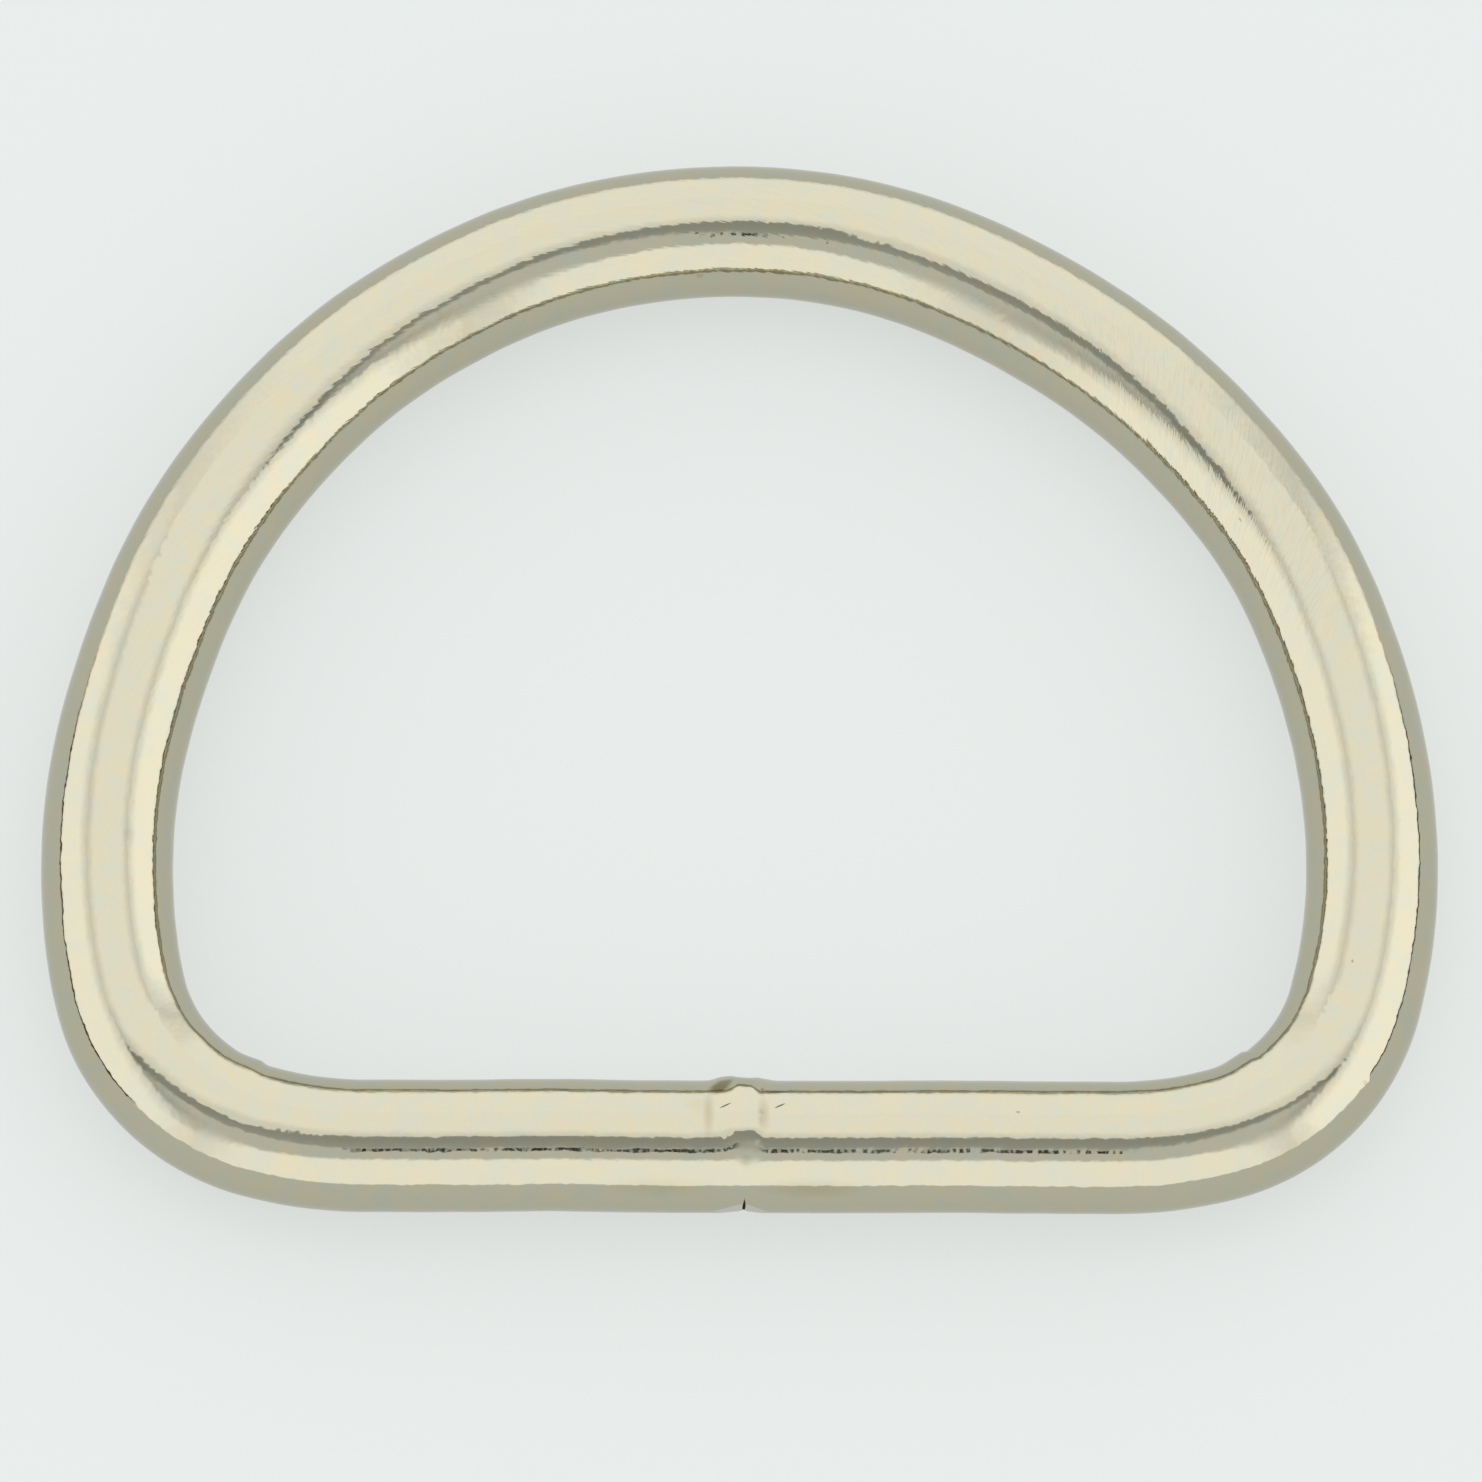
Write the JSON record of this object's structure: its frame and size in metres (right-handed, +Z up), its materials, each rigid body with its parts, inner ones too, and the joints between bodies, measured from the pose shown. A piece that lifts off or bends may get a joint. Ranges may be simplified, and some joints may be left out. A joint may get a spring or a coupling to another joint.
{
  "type": "welded wire D ring",
  "caption": "D ring bent from one round wire, welded in its straight bar: a strap loops round the bar, and a clip or second strap pulls on the arch.",
  "frame": {"origin": "on the surface that the ring lies on, under the middle of its overall box", "axes": "+X along the straight bar, +Y from the bar to the top of the arch, +Z up through the lying ring"},
  "size_m": [0.037, 0.0293, 0.0036],
  "materials": {
    "nickel_plate": "bright nickel plate on steel wire, slightly warm, with a fine uneven skin"
  },
  "bodies": {
    "root": {"ring": "nickel_plate"}
  },
  "joints": []
}
